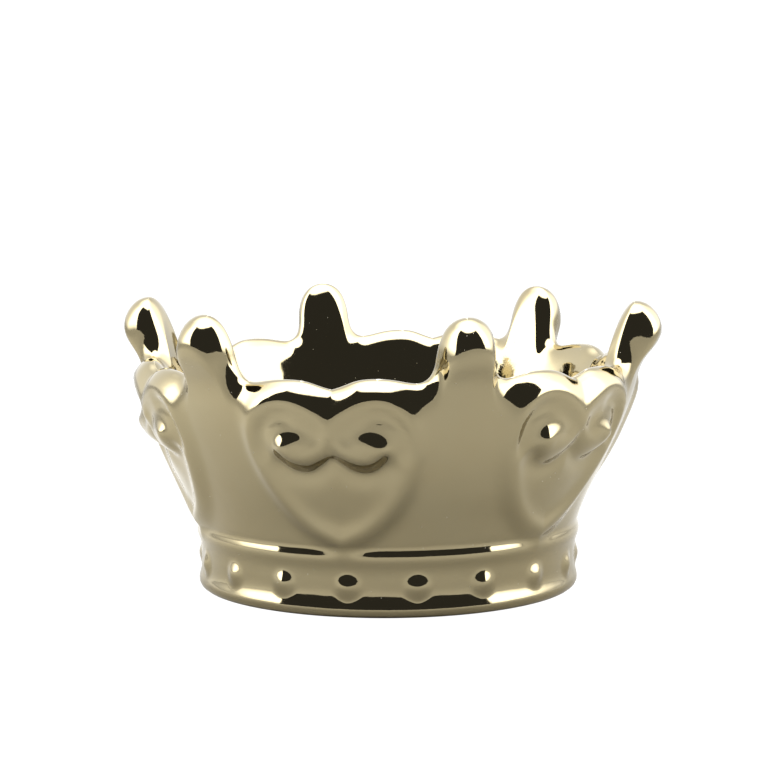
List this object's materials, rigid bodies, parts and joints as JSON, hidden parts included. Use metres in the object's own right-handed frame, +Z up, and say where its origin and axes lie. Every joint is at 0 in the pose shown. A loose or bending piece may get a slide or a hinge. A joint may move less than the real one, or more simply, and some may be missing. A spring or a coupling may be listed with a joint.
{
  "type": "ceramic crown bowl",
  "caption": "Crown-shaped ceramic bowl with a flared wall, heart-shaped rim ornaments, round-tipped fingers and a beaded base band.",
  "frame": {"origin": "centre of the foot ring, on the surface that the crown stands on", "axes": "+Z up through the bowl; a heart faces -Y; two fingers lie on +X and -X"},
  "size_m": [0.1442, 0.1332, 0.0752],
  "materials": {
    "lustre_glaze": "mirror-bright warm silver lustre over glaze, bare foot ring"
  },
  "bodies": {
    "root": {"crown": "lustre_glaze"}
  },
  "joints": []
}
